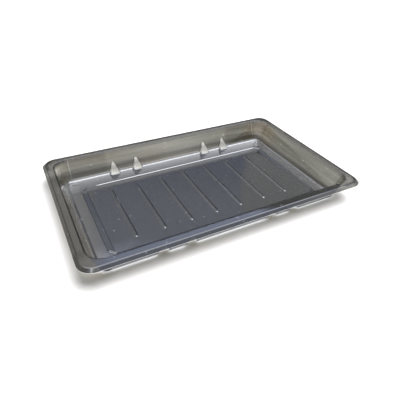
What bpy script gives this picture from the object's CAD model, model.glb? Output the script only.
import math

import bpy
import numpy as np
from mathutils import Matrix, Vector


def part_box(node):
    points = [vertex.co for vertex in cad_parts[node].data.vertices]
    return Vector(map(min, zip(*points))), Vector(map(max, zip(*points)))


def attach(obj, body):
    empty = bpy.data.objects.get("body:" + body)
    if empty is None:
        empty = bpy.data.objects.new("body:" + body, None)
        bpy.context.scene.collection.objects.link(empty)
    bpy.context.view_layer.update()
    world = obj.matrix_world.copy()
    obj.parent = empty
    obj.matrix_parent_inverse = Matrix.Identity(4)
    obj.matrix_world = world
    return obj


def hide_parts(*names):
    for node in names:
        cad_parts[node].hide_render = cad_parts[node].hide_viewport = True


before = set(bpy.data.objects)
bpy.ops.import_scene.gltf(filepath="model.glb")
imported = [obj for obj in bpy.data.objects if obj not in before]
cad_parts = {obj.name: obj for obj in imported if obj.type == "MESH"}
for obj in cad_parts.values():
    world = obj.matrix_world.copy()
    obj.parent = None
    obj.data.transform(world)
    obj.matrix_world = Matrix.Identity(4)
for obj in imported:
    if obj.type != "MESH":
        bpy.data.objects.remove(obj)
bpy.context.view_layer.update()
NODE = "tray_shell"
lo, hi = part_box(NODE)
MM = 0.001

# ---------------------------------------------------------------- sizes, in millimetres, from the CAD box
LIP_X, LIP_Y, H = (hi.x - lo.x) / 2 / MM, (hi.y - lo.y) / 2 / MM, (hi.z - lo.z) / MM
LIP_OUT, LIP_DROP = 4.4, 3.65
RIM_X, RIM_Y, RIM_R = LIP_X - LIP_OUT, LIP_Y - LIP_OUT, 14.0
FLANGE = 8.2
MOUTH_R, RUN = 20.0, 12.75
T = 0.8
AX, AY = RIM_X - FLANGE - MOUTH_R, RIM_Y - FLANGE - MOUTH_R  # wall corner axes
BX, BY = RIM_X - RIM_R, RIM_Y - RIM_R  # rim corner axes
FOOT_R = MOUTH_R - RUN
FOOT_Y = AY + FOOT_R
DROP = 0.8  # the panel's floor lies this far below the gutter
GZ = T + DROP  # top of the gutter
PANEL_X, PANEL_Y, PANEL_CUT, END_SLOPE = 149.3, 73.5, 8.0, 7.0
RIBS, RIB_PITCH, RIB_HALF, RIB_W, RIB_RISE = 7, 37.1, 56.0, 5.4, 1.0
GUSSETS = (-93.5, -58.0, 58.0, 93.5)
G_H, G_REACH, G_TOE, G_ROOT, G_TOP = 16.2, 5.8, 6.5, 8.2, 1.5


def bend_curve(p0, corner, p1, r, n):
    """Points of a path p0 -> corner -> p1 with the corner rounded to radius r: only the rounding's points."""
    p0, corner, p1 = map(np.array, (p0, corner, p1))
    a = (corner - p0) / np.linalg.norm(corner - p0)
    b = (p1 - corner) / np.linalg.norm(p1 - corner)
    turn = math.acos(float(np.clip(a @ b, -1, 1)))
    side = 1.0 if a[0] * b[1] - a[1] * b[0] > 0 else -1.0
    start = corner - a * r * math.tan(turn / 2)
    centre = start + side * r * np.array([-a[1], a[0]])
    s = start - centre
    out = []
    for i in range(n + 1):
        g = side * turn * i / n
        out.append(centre + [s[0] * math.cos(g) - s[1] * math.sin(g), s[0] * math.sin(g) + s[1] * math.cos(g)])
    return np.array(out)


# wall profile: height of the top surface against the distance from the wall corner axes' rectangle
_foot = bend_curve((-20, GZ), (FOOT_R, GZ), (MOUTH_R, H), 2.6, 40)
_mouth = bend_curve((FOOT_R, GZ), (MOUTH_R, H), (MOUTH_R + 20, H), 1.6, 40)
WALL = np.vstack([[(-400, GZ)], _foot, _mouth, [(400, H)]])
# lip profile against the distance from the rim corner axes' rectangle
DROOP = 0.55
_rim = bend_curve((RIM_R - FLANGE, H), (RIM_R, H - DROOP), (RIM_R + LIP_OUT, H - LIP_DROP), 0.8, 30)
LIP = np.vstack([[(-400, H), (RIM_R - FLANGE + 0.6, H)], _rim, [(RIM_R + LIP_OUT, H - LIP_DROP)], [(RIM_R + 40, H - LIP_DROP - 29.5)]])


def smax(a, b, k):
    h = np.clip(0.5 + 0.5 * (a - b) / k, 0, 1)
    return b + (a - b) * h + k * h * (1 - h)


def smin(a, b, k):
    return -smax(-a, -b, k)


def step(x):
    x = np.clip(x, 0, 1)
    return x * x * (3 - 2 * x)


def ledge(x, soft):
    """0 to 1 along a straight slope, rounded at both ends."""
    lo_ = 0.5 * (x + np.sqrt(x * x + soft * soft))
    hi_ = 1 - 0.5 * ((1 - lo_) + np.sqrt((1 - lo_) ** 2 + soft * soft))
    return np.clip(hi_, 0, 1)


def off(x, y, ax, ay):
    return np.hypot(np.maximum(np.abs(x) - ax, 0), np.maximum(np.abs(y) - ay, 0)) + np.minimum(
        np.maximum(np.abs(x) - ax, np.abs(y) - ay), 0
    )


def gusset_forms(x, y):
    """The gussets near the given points: which points, and the gusset's own height there."""
    ay_ = np.abs(y)
    lean = RUN / (H - GZ)
    toe, head = FOOT_Y - G_REACH, FOOT_Y + lean * G_H
    for gx in GUSSETS:
        m = (np.abs(x - gx) < G_ROOT + 3) & (ay_ > toe - 3) & (ay_ < head + 4)
        if m.any():
            lx, ly = np.abs(x[m] - gx), ay_[m]
            front = GZ + (ly - toe) * G_H / (head - toe)
            flank = GZ + (G_ROOT - lx) * G_H / (G_ROOT - G_TOP)
            near = GZ + (G_ROOT - (FOOT_Y - ly) * (G_ROOT - G_TOE) / G_REACH - lx) * 4.5
            g = smin(smin(front, flank, 1.0), near, 1.0)
            g = smin(g, np.full_like(g, GZ + G_H), 1.0)
            yield m, np.where(g < GZ - 1.5, GZ - 1.5, g)


def height(x, y):
    """Height of the tray's top surface over the plane, in millimetres."""
    d = off(x, y, AX, AY)
    z = np.interp(d, WALL[:, 0], WALL[:, 1])
    z = z + np.interp(off(x, y, BX, BY), LIP[:, 0], LIP[:, 1]) - H
    # sunken floor panel: a short step on the long sides and cut corners, a slope at the short ends
    ax_, ay_ = np.abs(x), np.abs(y)
    side = (PANEL_Y - ay_) / 1.1
    corner = (PANEL_X + PANEL_Y - PANEL_CUT - ax_ - ay_) / math.sqrt(2) / 1.05
    e = (PANEL_X - ax_) / END_SLOPE
    down = smin(smin(ledge(side, 0.13), ledge(corner, 0.13), 0.03), ledge(e, 0.03), 0.03)
    z = z - DROP * down
    # ribs
    for i in range(RIBS):
        cx = (i - (RIBS - 1) / 2) * RIB_PITCH
        m = np.abs(x - cx) < RIB_W
        if m.any():
            lx, ly = x[m] - cx, np.maximum(np.abs(y[m]) - (RIB_HALF - RIB_W / 2), 0)
            r = np.hypot(lx, ly)
            z[m] += RIB_RISE * step((RIB_W / 2 - r) / 1.7)
    for m, g in gusset_forms(x, y):
        z[m] = smax(z[m], g, 0.9)
    return z


# ---------------------------------------------------------------- mesh lines
def lines(half, marks, coarse):
    """Positions from 0 to half: spacing is fine within each (centre, reach, fine) mark and coarse elsewhere."""
    pos, x = [0.0], 0.0
    while x < half - 1e-6:
        s = coarse
        for c, reach, fine in marks:
            dist = max(0.0, abs(x - c) - reach)
            s = min(s, fine + 0.45 * dist)
        x = min(half, x + s)
        pos.append(x)
    p = np.array(pos)
    if len(p) > 2 and p[-1] - p[-2] < 0.4 * (p[-2] - p[-3]):
        p = np.delete(p, -2)
    return p


def build_shell():
    corner_n = 11  # cells of the floor grid's edge that wrap into each half corner
    cs = 0.8  # their size on the grid's edge
    gx0, gy0 = 155.0, 85.2  # half size of the floor grid
    sx, sy = gx0 - corner_n * cs, gy0 - corner_n * cs
    xm = [(i * RIB_PITCH, 2.9, 0.42) for i in range(4)]
    xm += [(58.0, 8.6, 0.85), (93.5, 8.6, 0.85), (PANEL_X - 7, 0.9, 0.5), (PANEL_X, 0.9, 0.5)]
    xp = lines(sx, xm, 3.4)
    xp = np.concatenate([xp, sx + cs * np.arange(1, corner_n + 1)])
    ym = [(RIB_HALF - 1.4, 1.8, 0.36), (PANEL_Y - 0.55, 0.75, 0.15)]
    yp = lines(sy, ym, 3.4)
    yp = np.concatenate([yp, sy + cs * np.arange(1, corner_n + 1)])
    X = np.concatenate([-xp[:0:-1], xp])
    Y = np.concatenate([-yp[:0:-1], yp])
    nx, ny = len(X), len(Y)
    # the grid's edge, anticlockwise from the corner (+x, -y)
    edge = [(nx - 1, j) for j in range(0, ny)]
    edge += [(i, ny - 1) for i in range(nx - 2, -1, -1)]
    edge += [(0, j) for j in range(ny - 2, -1, -1)]
    edge += [(i, 0) for i in range(1, nx - 1)]
    E = len(edge)
    ex = np.array([X[i] for i, j in edge])
    ey = np.array([Y[j] for i, j in edge])
    cornerx = np.abs(ex) > sx + 1e-6
    cornery = np.abs(ey) > sy + 1e-6
    on_x = np.abs(np.abs(ex) - gx0) < 1e-6  # on a short side
    on_y = np.abs(np.abs(ey) - gy0) < 1e-6  # on a long side
    corner = (on_x & cornery) | (on_y & cornerx) | (on_x & on_y)
    ang = np.zeros(E)  # 0 on the short side, 90 on the long side
    ang[on_x] = np.clip((np.abs(ey[on_x]) - sy) / (gy0 - sy), 0, 1) * 45
    ang[on_y] = 90 - np.clip((np.abs(ex[on_y]) - sx) / (gx0 - sx), 0, 1) * 45
    ang = np.radians(ang)

    def stretch(c, plain, s_old, s_new):
        a = np.abs(c)
        k = np.clip((a - plain) / (s_old - plain), 0, 1)
        return np.sign(c) * (np.minimum(a, plain) + np.where(a > plain, k * (s_new - plain), 0))

    def ring(cx, cy, s):
        px = np.where(on_x, np.sign(ex) * (cx + s), stretch(ex, 112.0, sx, cx))
        py = np.where(on_y, np.sign(ey) * (cy + s), stretch(ey, 60.0, sy, cy))
        px = np.where(corner, np.sign(ex) * (cx + s * np.cos(ang)), px)
        py = np.where(corner, np.sign(ey) * (cy + s * np.sin(ang)), py)
        return px, py

    rings = []
    # gutter: out from the floor grid's edge to the foot
    s_first = 0.8
    first = ring(AX, AY, s_first)
    inner = [gy0 - AY + v for v in (0.9, 1.7, 2.3, 2.8, 3.2)]
    for s in inner:
        px, py = ring(AX, AY, s)
        k = (s - (gy0 - AY)) / (s_first - (gy0 - AY))
        k = min(max(k, 0.0), 1.0)
        # corners and short sides move across evenly; the long sides keep straight lines for the gussets
        lx, ly = ex + (first[0] - ex) * k, ey + (first[1] - ey) * k
        keep = on_y & ~corner
        px = np.where(keep, px, lx)
        py = np.where(keep, py, ly)
        rings.append((px, py))
    s_list = list(np.arange(s_first, 2.6, 0.3)) + [2.9, 3.5, 4.2, 4.9]
    s_list += list(_foot[:: 4, 0])
    s_list += list(np.arange(_foot[-1, 0] + 0.4, 14.4, 0.42)) + [15.0, 15.8, 16.6, 17.4, 18.2]
    s_list += list(_mouth[:: 4, 0])
    s_list = np.array(sorted(set(round(float(v), 4) for v in s_list)))
    keep = np.concatenate([[True], np.diff(s_list) > 0.12])
    for s in s_list[keep]:
        rings.append(ring(AX, AY, s))
    last = rings[-1]
    lip_first = ring(BX, BY, 12.6)
    for k in (0.35, 0.7):
        rings.append((last[0] + (lip_first[0] - last[0]) * k, last[1] + (lip_first[1] - last[1]) * k))
    r_list = [12.6, 13.15, 13.4] + list(_rim[:: 4, 0]) + [14.5, 14.8, 15.4, 16.2, 17.0, 17.7, 18.15]
    r_list = np.array(sorted(set(round(float(v), 4) for v in r_list)))
    keep = np.concatenate([[True], np.diff(r_list) > 0.08])
    for s in r_list[keep]:
        rings.append(ring(BX, BY, s))
    tip = ring(BX, BY, RIM_R + LIP_OUT - 0.28)
    rings.append(tip)

    gx, gy = np.meshgrid(X, Y, indexing="ij")
    px = np.concatenate([gx.ravel()] + [r[0] for r in rings])
    py = np.concatenate([gy.ravel()] + [r[1] for r in rings])
    # faces
    faces = []
    idx = np.arange(nx * ny).reshape(nx, ny)
    a, b, c, d = idx[:-1, :-1], idx[1:, :-1], idx[1:, 1:], idx[:-1, 1:]
    faces.append(np.stack([a, b, c, d], -1).reshape(-1, 4))
    prev = np.array([idx[i, j] for i, j in edge])
    base = nx * ny
    for _ in rings:
        cur = base + np.arange(E)
        faces.append(np.stack([prev, cur, np.roll(cur, -1), np.roll(prev, -1)], -1))
        prev = cur
        base += E
    faces = np.vstack(faces)
    z = height(px, py)
    h = 0.02
    fx = (height(px + h, py) - height(px - h, py)) / (2 * h)
    fy = (height(px, py + h) - height(px, py - h)) / (2 * h)
    n = np.stack([-fx, -fy, np.ones_like(fx)], -1)
    n /= np.linalg.norm(n, axis=1)[:, None]
    top = np.stack([px, py, z], -1)
    bot = top - n * T
    # the trimmed edge of the lip, slightly rounded
    last_ids = prev
    out2 = np.stack([n[last_ids, 0], n[last_ids, 1]], -1)
    out2 /= np.linalg.norm(out2, axis=1)[:, None]
    t3 = np.stack([out2[:, 0] * n[last_ids, 2], out2[:, 1] * n[last_ids, 2], -np.hypot(n[last_ids, 0], n[last_ids, 1])], -1)
    e1 = top[last_ids] + t3 * 0.22 - n[last_ids] * 0.16
    e2 = top[last_ids] + t3 * 0.30 - n[last_ids] * (T / 2)
    e3 = bot[last_ids] + t3 * 0.22 + n[last_ids] * 0.16
    N = len(top)
    verts = np.vstack([top, bot, e1, e2, e3])
    d = off(px, py, AX, AY)
    g = np.interp(d, [-12, FOOT_R - 2, FOOT_R + 1.5, MOUTH_R - 3, MOUTH_R + 1, MOUTH_R + 6], [0.80, 0.74, 0.60, 0.73, 0.84, 0.86])
    cor = np.clip(np.minimum(np.abs(px) - AX + 4, np.abs(py) - AY + 4) / 8, 0, 1)
    up_wall = np.clip((d - FOOT_R + 1) / 3, 0, 1) * np.clip((MOUTH_R + 1 - d) / 2, 0, 1)
    g = g * (1 - 0.12 * cor * (1 - up_wall) * np.clip((MOUTH_R + 2 - d) / 8, 0, 1))
    turn = np.arctan2(np.maximum(np.abs(py) - AY, 0), np.maximum(np.abs(px) - AX, 0) + 1e-9) / (math.pi / 2)
    long_side = step(turn)
    by_long = 0.38 - 0.16 * np.exp(-((px / 70) ** 2)) - 0.18 * step((108 - np.abs(px)) / 10)
    by_long = by_long - 0.34 * np.exp(-(((d - FOOT_R - 2) / 4) ** 2)) * (py > 0)
    near_low = np.clip((FOOT_R + 7 - d) / 3, 0, 1)
    by_long = by_long + (py < 0) * (0.55 * near_low - 0.30 * (1 - near_low) * np.clip((px - 40) / 60, 0, 1))
    by_short = np.where(px < 0, -0.46, 0.25 - 0.40 * np.exp(-(((d - FOOT_R - 2) / 4) ** 2))) + 0.14 * cor * (px > 0)
    by_short = by_short + (px > 0) * (0.12 * np.exp(-(((d - FOOT_R - 7) / 2.5) ** 2)) - 0.26 * np.clip((d - MOUTH_R + 5) / 4, 0, 1))
    g = g * (1 + up_wall * (long_side * by_long + (1 - long_side) * by_short))
    g = g * (1 - np.where(px < 0, 0.12, 0.25) * np.clip((np.abs(px) - PANEL_X + 1) / 3, 0, 1) * np.clip((FOOT_R + 1 - d) / 2, 0, 1))
    g = g * (1 - 0.12 * np.clip((py - PANEL_Y - 1) / 2, 0, 1) * np.clip((FOOT_R + 1 - d) / 2, 0, 1))
    # stretched thin over the gussets
    plain = np.interp(d, WALL[:, 0], WALL[:, 1])
    for m, f in gusset_forms(px, py):
        g[m] = g[m] * (1 - np.where(py[m] > 0, 0.62, -0.10) * np.clip((f - plain[m]) / 1.2, 0, 1))
    # the mouth and rim creases read as thin dark lines, strongest on the left
    db = off(px, py, BX, BY)
    west, south, north = (np.clip((v - w_) / 4, 0, 1) for v, w_ in ((-px, AX), (-py, AY), (py, AY)))
    crease = np.clip(0.45 + 0.75 * west + 0.25 * south - 0.30 * north, 0, 1.2) * np.interp(px, [40, 130], [1.0, 0.6])
    g = g + crease * (1.0 * np.exp(-(((d - MOUTH_R) / 0.6) ** 2)) + 0.8 * np.exp(-(((db - RIM_R) / 0.5) ** 2)) * (1 - south))
    east = np.clip((px - AX) / 4, 0, 1)
    g = g + np.maximum(north, 0.7 * east) * 1.3 * np.exp(-(((db - RIM_R + 0.7) / 1.3) ** 2))
    g = g + (0.30 * cor * np.where((px > 0) & (py < 0), -0.4, 1.0) - 0.04 * west) * np.clip((d - MOUTH_R - 1) / 3, 0, 1)
    # the ribs' right-hand flanks
    for i in range(RIBS):
        lx = px - (i - (RIBS - 1) / 2) * RIB_PITCH
        g = g + (0.34 if i < 4 else 0.16) * np.exp(-(((lx - 1.9) / 0.55) ** 2)) * (np.abs(py) < RIB_HALF - 1)
    gauge = np.concatenate([g, g, g[last_ids], g[last_ids], g[last_ids]])
    # the outside of the long walls between the gussets
    pipe = np.clip((np.abs(py) - AY - FOOT_R + 2) / 1.0, 0, 1) * np.clip((AX - 2 - np.abs(px)) / 2, 0, 1)
    pipe = pipe * np.interp(px, [20, 100, 140], [1.0, 0.65, 0.40])
    for gx_ in GUSSETS:
        pipe = pipe * np.clip((np.abs(px - gx_) - 7.6) / 1.0, 0, 1)
    line = 0.42 * np.exp(-(((d - FOOT_R - 0.2) / 0.75) ** 2)) * (0.45 + 0.55 * np.clip((np.abs(px) - 60) / 60, 0, 1))
    line = line * np.clip((py - AY - 3) / 2, 0, 1) * np.clip((AX + 4 - np.abs(px)) / 3, 0, 1)
    for gx_ in GUSSETS:
        line = line * np.clip((np.abs(px - gx_) - 5.0) / 2.0, 0, 1)
    line = line + 0.10 * np.exp(-(((d - FOOT_R) / 0.6) ** 2)) * (np.abs(px) > AX) * np.clip((py - np.where(px < 0, 35, 66)) / 14, 0, 1)
    line = line + np.interp(px, [-150, 90, 140], [0.34, 0.24, 0.12]) * np.exp(-(((db - RIM_R + 0.05) / 0.46) ** 2)) * np.clip((-py - BY - 6) / 5, 0, 1)
    for m, f in gusset_forms(px, py):
        line[m] = line[m] + 0.075 * np.clip((f - plain[m] - 0.4) / 1.2, 0, 1) * (py[m] > 0)
    line = np.concatenate([line, line * 0, line[last_ids] * 0, line[last_ids] * 0, line[last_ids] * 0])
    pipe = np.concatenate([pipe * 0, pipe, pipe[last_ids] * 0, pipe[last_ids] * 0, pipe[last_ids] * 0])
    # how tightly the sheet is bent, in 1/mm
    q = 0.3
    fold = np.zeros(N)
    for sx_, sy_ in ((q, 0), (0, q), (q * 0.707, q * 0.707), (q * 0.707, -q * 0.707)):
        z0, z1 = height(px - sx_, py - sy_), height(px + sx_, py + sy_)
        g0, g1 = (z - z0) / q, (z1 - z) / q
        fold = np.maximum(fold, np.abs(np.arctan(g1) - np.arctan(g0)) / (q * np.sqrt(1 + ((g0 + g1) / 2) ** 2)))
    fold[(np.abs(px) < PANEL_X - 12) & (np.abs(py) < PANEL_Y - 4)] = 0.0
    ends = (np.abs(px) > PANEL_X - 9) & (np.abs(px) < PANEL_X + 2) & (np.abs(py) < PANEL_Y)
    fold[ends] = fold[ends] * np.where(px[ends] < 0, 3.2, 1.0)
    fold = fold * (1 - 0.95 * south * np.clip((db - RIM_R + 3) / 2, 0, 1))
    low = np.clip((GZ + 1.0 - z) / 1.0, 0, 1)
    fold = np.minimum(fold, 1.0) * (1 + 0.7 * low * np.clip(-px / 150, 0, 1)) * (1 - 0.5 * low * (px > PANEL_X + 2))
    shine = np.interp(d, [FOOT_R - 4, FOOT_R - 2.5, FOOT_R + 2, FOOT_R + 5, MOUTH_R - 3, MOUTH_R - 1], [1, 1.3, 1.3, 0.9, 0.8, 0.26])
    shine = shine * (1 - 0.85 * np.clip((-px - 124) / 4, 0, 1) * (np.abs(py - PANEL_Y) < 3))
    shine = np.concatenate([shine, shine, shine[last_ids] * 0, shine[last_ids] * 0, shine[last_ids] * 0])
    fold = np.concatenate([fold, fold, fold[last_ids], fold[last_ids], fold[last_ids]])
    trim = np.zeros(len(fold))
    trim[2 * N:] = 1.0
    F = [faces, faces[:, ::-1] + N]
    a0 = last_ids
    for cur in (2 * N + np.arange(E), 2 * N + E + np.arange(E), 2 * N + 2 * E + np.arange(E), last_ids + N):
        F.append(np.stack([a0, cur, np.roll(cur, -1), np.roll(a0, -1)], -1))
        a0 = cur
    F = np.vstack(F)
    nl = n[last_ids]
    normals = np.vstack([n, -n, t3 * 0.7 + nl * 0.7, t3, t3 * 0.7 - nl * 0.7])
    normals /= np.linalg.norm(normals, axis=1)[:, None]
    return verts, F, normals, {"gauge": gauge, "fold": fold, "trim": trim, "shine": shine, "pipe": pipe, "line": line}


verts, F, normals, marks = build_shell()
print("shell verts", len(verts), "faces", len(F))
me = bpy.data.meshes.new("tray_body")
me.vertices.add(len(verts))
me.vertices.foreach_set("co", (verts * MM).astype(np.float32).ravel())
me.loops.add(F.size)
me.loops.foreach_set("vertex_index", F.astype(np.int32).ravel())
me.polygons.add(len(F))
me.polygons.foreach_set("loop_start", np.arange(0, F.size, 4, dtype=np.int32))
me.polygons.foreach_set("loop_total", np.full(len(F), 4, dtype=np.int32))
me.update(calc_edges=True)
me.validate()
me.polygons.foreach_set("use_smooth", np.ones(len(F), dtype=bool))
me.normals_split_custom_set_from_vertices(normals.astype(np.float32))
for name, val in marks.items():
    me.attributes.new(name, "FLOAT", "POINT").data.foreach_set("value", val.astype(np.float32))
body = bpy.data.objects.new("tray_body", me)
bpy.context.scene.collection.objects.link(body)
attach(body, "root")
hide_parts(NODE)


# ---------------------------------------------------------------- materials
class Graph:
    """Small helper that builds node maths as expressions."""

    def __init__(self, tree):
        self.t = tree
        tree.nodes.clear()

    def node(self, kind, **props):
        n = self.t.nodes.new(kind)
        for k, v in props.items():
            setattr(n, k, v)
        return n

    def put(self, value, socket):
        if hasattr(value, "is_output"):
            self.t.links.new(value, socket)
        else:
            socket.default_value = value

    def m(self, op, *args, clamp=False):
        n = self.node("ShaderNodeMath", operation=op, use_clamp=clamp)
        for v, sk in zip(args, n.inputs):
            self.put(v, sk)
        return n.outputs[0]

    def v(self, op, *args):
        n = self.node("ShaderNodeVectorMath", operation=op)
        for v, sk in zip(args, n.inputs):
            self.put(v, sk)
        return n.outputs["Value"] if op in ("DOT_PRODUCT", "LENGTH", "DISTANCE") else n.outputs[0]

    def ramp(self, x, a, b, smooth=True):
        """0 at a and below, 1 at b and above (b may be below a)."""
        n = self.node("ShaderNodeMapRange", interpolation_type="SMOOTHSTEP" if smooth else "LINEAR", clamp=True)
        self.put(x, n.inputs[0])
        self.put(a, n.inputs[1])
        self.put(b, n.inputs[2])
        return n.outputs[0]

    def mix(self, f, a, b):
        n = self.node("ShaderNodeMix", data_type="RGBA")
        self.put(f, n.inputs[0])
        self.put(a, n.inputs[6])
        self.put(b, n.inputs[7])
        return n.outputs[2]

    def mix_value(self, f, a, b):
        n = self.node("ShaderNodeMix", data_type="FLOAT")
        self.put(f, n.inputs[0])
        self.put(a, n.inputs[2])
        self.put(b, n.inputs[3])
        return n.outputs[0]

    def _scale(self, col, k):
        n = self.node("ShaderNodeVectorMath", operation="SCALE")
        self.put(col, n.inputs[0])
        self.put(k, n.inputs[3])
        return n.outputs[0]

    def noise(self, vec, scale, detail=2.0, rough=0.5, dist=0.0):
        n = self.node("ShaderNodeTexNoise")
        self.put(vec, n.inputs["Vector"])
        n.inputs["Scale"].default_value = scale
        n.inputs["Detail"].default_value = detail
        n.inputs["Roughness"].default_value = rough
        n.inputs["Distortion"].default_value = dist
        return n.outputs[0]


def between(g, x, a, b, soft):
    return g.m("MULTIPLY", g.ramp(x, a - soft, a + soft), g.ramp(x, b + soft, b - soft))


def soft_box(g, vec):
    """1 where a direction points at the long soft box over the tray."""
    sep = g.node("ShaderNodeSeparateXYZ")
    g.put(vec, sep.inputs[0])
    x, y, z = sep.outputs
    zz = g.m("MAXIMUM", z, 0.02)
    return g.m("MULTIPLY", between(g, g.m("DIVIDE", x, zz), -0.42, 0.85, 0.05), between(g, g.m("DIVIDE", y, zz), -0.42, -0.12, 0.03))


def plastic():
    m = bpy.data.materials.new("smoke_clear_plastic")
    m.use_nodes = True
    g = Graph(m.node_tree)
    out = g.node("ShaderNodeOutputMaterial")
    geo = g.node("ShaderNodeNewGeometry")
    pos = geo.outputs["Position"]
    # sheet waviness left by forming, and fine ripples
    wave = g.noise(pos, 26.0, 1.0)
    bump = g.node("ShaderNodeBump")
    bump.inputs["Strength"].default_value = 1.0
    bump.inputs["Distance"].default_value = 0.00025
    g.put(wave, bump.inputs["Height"])
    nrm = bump.outputs[0]
    c = g.m("ABSOLUTE", g.v("DOT_PRODUCT", geo.outputs["Incoming"], nrm), clamp=True)
    # Fresnel reflectance of one face (Schlick, index 1.5)
    k = g.m("SUBTRACT", 1.0, c)
    fr = g.m("ADD", 0.045, g.m("MULTIPLY", 0.955, g.m("POWER", k, 5.0)), clamp=True)
    # path through half the sheet: absorption grows as the line of sight leans over
    s2 = g.m("DIVIDE", g.m("SUBTRACT", 1.0, g.m("MULTIPLY", c, c)), 2.25)
    ct = g.m("SQRT", g.m("SUBTRACT", 1.0, s2))
    gauge = g.node("ShaderNodeAttribute", attribute_name="gauge").outputs["Fac"]
    fold = g.node("ShaderNodeAttribute", attribute_name="fold").outputs["Fac"]
    trim = g.node("ShaderNodeAttribute", attribute_name="trim").outputs["Fac"]
    # a tight bend carries the line of sight along the sheet, so it reads darker
    bent = g.m("MULTIPLY", g.ramp(fold, 0.2, 0.8), g.m("MAXIMUM", fold, 0.8))
    thick = g.m("ADD", gauge, g.m("MULTIPLY", bent, 0.42))
    # drawing marks: faint level streaks up the walls
    stretch = g.node("ShaderNodeMapping")
    stretch.inputs["Scale"].default_value = (7.0, 7.0, 190.0)
    g.put(pos, stretch.inputs["Vector"])
    streak = g.noise(stretch.outputs[0], 1.0, 2.0)
    sepz = g.node("ShaderNodeSeparateXYZ")
    g.put(pos, sepz.inputs[0])
    on_wall = between(g, sepz.outputs[2], 0.006, 0.031, 0.002)
    thick = g.m("ADD", thick, g.m("MULTIPLY", g.m("MULTIPLY", g.m("SUBTRACT", streak, 0.5), 0.6), on_wall))
    lp = g.node("ShaderNodeLightPath")
    shadow = lp.outputs["Is Shadow Ray"]
    lit = g.m("SUBTRACT", 1.0, shadow)
    # light scattered in the sheet reaches the table too, so its shadow is paler than the tint alone
    ease = g.mix_value(g.ramp(sepz.outputs[2], 0.003, 0.008), 0.27, 0.02)
    path = g.m("DIVIDE", g.m("MULTIPLY", g.m("SUBTRACT", 0.5, g.m("MULTIPLY", shadow, ease)), thick), ct)
    # cloudy warm and cool patches in the tint
    cloud = g.noise(pos, 9.0, 2.0)
    tint = ((0.136, 0.118, 0.088), (0.124, 0.123, 0.104))
    rim = (0.135, 0.131, 0.123)
    cool = (0.104, 0.104, 0.107)
    sep = g.node("ShaderNodeSeparateXYZ")
    g.put(pos, sep.inputs[0])
    up = g.ramp(sep.outputs[2], 0.0022, 0.0065)
    high = g.ramp(sep.outputs[2], 0.0300, 0.0320)
    comb = g.node("ShaderNodeCombineColor")
    for i in range(3):
        base = g.m("ADD", tint[0][i], g.m("MULTIPLY", g.ramp(cloud, 0.35, 0.65), tint[1][i] - tint[0][i]))
        base = g.m("ADD", cool[i], g.m("MULTIPLY", up, g.m("SUBTRACT", base, cool[i])))
        base = g.m("ADD", base, g.m("MULTIPLY", high, g.m("SUBTRACT", rim[i], base)))
        g.put(g.m("POWER", base, path), comb.inputs[i])
    clear = g.node("ShaderNodeBsdfTransparent")
    g.put(comb.outputs[0], clear.inputs[0])
    gloss = g.node("ShaderNodeBsdfGlossy")
    gloss.inputs["Roughness"].default_value = 0.018
    g.put(nrm, gloss.inputs["Normal"])
    mix = g.node("ShaderNodeMixShader")
    g.put(g.m("MULTIPLY", fr, lit), mix.inputs[0])
    g.put(clear.outputs[0], mix.inputs[1])
    g.put(gloss.outputs[0], mix.inputs[2])
    # the long soft box overhead, mirrored in the sheet's two faces
    inc = geo.outputs["Incoming"]
    dn = g.v("DOT_PRODUCT", inc, nrm)
    mir = g.v("SUBTRACT", g._scale(nrm, g.m("MULTIPLY", dn, 2.0)), inc)
    box = g.m("MULTIPLY", soft_box(g, mir), g.m("MULTIPLY", fr, lit))
    box = g.m("MULTIPLY", box, g.node("ShaderNodeAttribute", attribute_name="shine").outputs["Fac"])
    box = g.m("MULTIPLY", box, g.mix_value(geo.outputs["Backfacing"], 1.0, 0.35))
    # light carried in the sheet leaves it along the outer foot of the long walls and at two cut corners of the panel
    x, y, z = sepz.outputs
    foot = g.m("ADD", g.m("MULTIPLY", between(g, z, 0.0008, 0.0017, 0.0002), 0.95), g.m("MULTIPLY", between(g, z, 0.0043, 0.0049, 0.0002), 0.75))
    foot = g.m("MULTIPLY", foot, g.node("ShaderNodeAttribute", attribute_name="pipe").outputs["Fac"])
    foot = g.m("ADD", foot, g.node("ShaderNodeAttribute", attribute_name="line").outputs["Fac"])
    diag = g.m("MULTIPLY", g.m("SUBTRACT", (PANEL_X + PANEL_Y - PANEL_CUT) * MM, g.m("ABSOLUTE", g.m("ADD", x, y))), 0.7071)
    along = g.m("SUBTRACT", g.m("ABSOLUTE", g.m("SUBTRACT", x, y)), (PANEL_X - PANEL_Y) * MM)
    tip = g.m("ADD", between(g, diag, -0.0009, -0.0002, 0.0002), between(g, diag, 0.0013, 0.0019, 0.0002))
    tip = g.m("MULTIPLY", g.m("MULTIPLY", tip, between(g, along, -0.0066, 0.0066, 0.0008)), g.ramp(z, 0.0022, 0.0018))
    speck = g.m("MULTIPLY", g.ramp(g.noise(pos, 260.0, 0.0), 0.80, 0.85), 0.12)
    rise = g.m("MULTIPLY", g.m("MULTIPLY", between(g, g.m("ABSOLUTE", x), 0.1552, 0.1562, 0.0005), on_wall), g.m("MULTIPLY", g.ramp(y, 0.088, 0.09), 0.075))
    foot = g.m("ADD", foot, rise)
    glints = g.m("MULTIPLY", g.m("ADD", g.m("ADD", foot, speck), g.m("MULTIPLY", tip, 0.45)), lit)
    shine = g.node("ShaderNodeEmission")
    shine.inputs["Color"].default_value = (0.92, 0.95, 1.0, 1)
    again = g.m("ADD", 1.0, g.m("MULTIPLY", lp.outputs["Is Glossy Ray"], 0.75))
    g.put(g.m("ADD", g.m("MULTIPLY", g.m("MULTIPLY", box, 22.0), again), glints), shine.inputs["Strength"])
    add0 = g.node("ShaderNodeAddShader")
    g.put(mix.outputs[0], add0.inputs[0])
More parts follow.
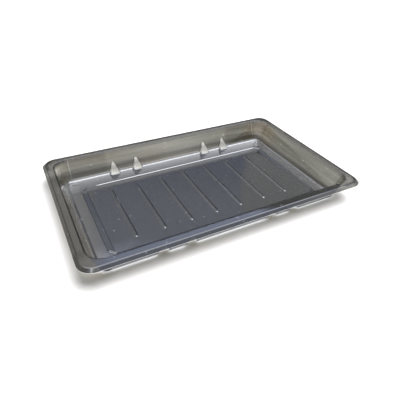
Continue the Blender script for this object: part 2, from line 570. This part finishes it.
    g.put(shine.outputs[0], add0.inputs[1])
    # the trimmed edge is frosted and pale
    frost = g.node("ShaderNodeBsdfDiffuse")
    frost.inputs["Color"].default_value = (0.85, 0.86, 0.88, 1)
    glow = g.node("ShaderNodeEmission")
    glow.inputs["Color"].default_value = (0.9, 0.93, 1.0, 1)
    glow.inputs["Strength"].default_value = 0.75
    add = g.node("ShaderNodeAddShader")
    g.put(frost.outputs[0], add.inputs[0])
    g.put(glow.outputs[0], add.inputs[1])
    mix2 = g.node("ShaderNodeMixShader")
    g.put(g.m("MULTIPLY", g.m("MULTIPLY", trim, 0.75), lit), mix2.inputs[0])
    g.put(add0.outputs[0], mix2.inputs[1])
    g.put(add.outputs[0], mix2.inputs[2])
    g.put(mix2.outputs[0], out.inputs["Surface"])
    m.cycles.emission_sampling = "NONE"
    return m


body.data.materials.append(plastic())

# ---------------------------------------------------------------- stage
floor_me = bpy.data.meshes.new("stage_floor")
s = 6.0
floor_me.from_pydata([(-s, -s, 0), (s, -s, 0), (s, s, 0), (-s, s, 0)], [], [(0, 1, 2, 3)])
floor = bpy.data.objects.new("stage_floor", floor_me)
floor.location = (0, 0, -0.0003)
bpy.context.scene.collection.objects.link(floor)
fm = bpy.data.materials.new("stage_white")
fm.use_nodes = True
g = Graph(fm.node_tree)
o = g.node("ShaderNodeOutputMaterial")
d = g.node("ShaderNodeBsdfDiffuse")
d.inputs["Color"].default_value = (0.88, 0.88, 0.88, 1)
below = g.node("ShaderNodeNewGeometry").outputs["Backfacing"]
clear = g.node("ShaderNodeBsdfTransparent")
mx = g.node("ShaderNodeMixShader")
g.put(below, mx.inputs[0])
g.put(d.outputs[0], mx.inputs[1])
g.put(clear.outputs[0], mx.inputs[2])
g.put(mx.outputs[0], o.inputs["Surface"])
floor_me.materials.append(fm)

w = bpy.data.worlds.new("world")
bpy.context.scene.world = w
w.use_nodes = True
g = Graph(w.node_tree)
o = g.node("ShaderNodeOutputWorld")
bg = g.node("ShaderNodeBackground")
tc = g.node("ShaderNodeTexCoord")
dr = tc.outputs["Generated"]
sep = g.node("ShaderNodeSeparateXYZ")
g.put(dr, sep.inputs[0])
dx, dy, dz = sep.outputs
R = math.radians
az = g.m("ARCTAN2", dx, dy)  # 0 behind the tray, positive to its right
el = g.m("ARCSINE", dz)


def col(r_, g_, b_):
    return (r_, g_, b_, 1)


# behind the tray: dim low down, a plain grey wall with a pale blue window, a lavender ceiling above
low_back = g.mix(g.ramp(az, R(4), R(14)), col(0.60, 0.60, 0.58), col(0.30, 0.31, 0.32))
low_back = g.mix(g.ramp(az, R(-14), R(-28)), low_back, col(1.25, 1.25, 1.22))
wall = g.mix(g.ramp(az, R(2), R(9)), col(1.45, 1.45, 1.40), col(0.93, 0.95, 0.94))
window = g.mix(g.ramp(el, R(29), R(39)), col(0.36, 0.46, 0.74), col(0.85, 0.98, 1.30))
wall = g.mix(between(g, az, R(9), R(35.5), R(0.7)), wall, window)
behind = g.mix(g.ramp(el, R(26.5), R(29.5)), low_back, wall)
ceiling = g.mix(g.ramp(az, R(6), R(12)), col(2.9, 2.9, 2.85), col(3.5, 3.9, 5.2))
behind = g.mix(g.ramp(el, R(41.3), R(44)), behind, ceiling)
behind = g.mix(g.ramp(el, R(58), R(66)), behind, col(0.85, 0.88, 0.95))
# towards the camera: a white horizon and a dimmer room above it
infront = g.mix(g.ramp(el, R(9), R(15)), col(1.0, 0.99, 0.96), col(0.92, 0.98, 1.12))
card = g.m("MULTIPLY", between(g, g.m("ABSOLUTE", az), R(112), R(179), R(4)), between(g, el, R(31), R(74), R(3)))
infront = g.mix(card, infront, g.mix(g.ramp(el, R(43), R(50)), col(3.2, 3.15, 3.0), col(2.15, 2.35, 2.8)))
back = g.m("ADD", g.m("MULTIPLY", dx, 0.35), g.m("MULTIPLY", dy, 0.94))
sky = g.mix(g.ramp(back, -0.15, 0.05), infront, behind)
sky = g.mix(g.node("ShaderNodeLightPath").outputs["Is Camera Ray"], sky, col(1.0, 1.0, 1.0))
g.put(sky, bg.inputs[0])
bg.inputs["Strength"].default_value = 1.0
g.put(bg.outputs[0], o.inputs[0])
w.cycles_visibility.diffuse = False  # the room is what the plastic mirrors; the lamps light the table


def sun(name, toward, energy, angle):
    lamp = bpy.data.lights.new(name, "SUN")
    lamp.energy = energy
    lamp.angle = math.radians(angle)
    ob = bpy.data.objects.new(name, lamp)
    ob.rotation_mode = "QUATERNION"
    ob.rotation_quaternion = Vector(toward).to_track_quat("-Z", "Y")
    ob.visible_glossy = False
    bpy.context.scene.collection.objects.link(ob)


sun("key", (-0.20, 0.25, -1.0), 5.0, 41)
sun("fill", (0.0, 0.05, -1.0), 0.7, 150)

# ---------------------------------------------------------------- camera at the photograph's viewing angle
cam = bpy.data.cameras.new("camera")
cam.sensor_width = 36.0
cam.lens = 34.774
cam.shift_x = -0.01469
cam.shift_y = -0.04877
cam.clip_start, cam.clip_end = 0.01, 50
co = bpy.data.objects.new("camera", cam)
r = Vector((0.884382, -0.465959, 0.027413))
u = Vector((0.235004, 0.495239, 0.836368))
b = r.cross(u)
co.matrix_world = Matrix(((r.x, u.x, b.x, -0.209705), (r.y, u.y, b.y, -0.401133), (r.z, u.z, b.z, 0.313738), (0, 0, 0, 1)))
bpy.context.scene.collection.objects.link(co)
sc = bpy.context.scene
sc.camera = co
sc.view_settings.view_transform = "Standard"
sc.view_settings.look = "None"
sc.cycles.use_denoising = True
sc.cycles.max_bounces = 24
sc.cycles.transmission_bounces = 24
sc.cycles.transparent_max_bounces = 24
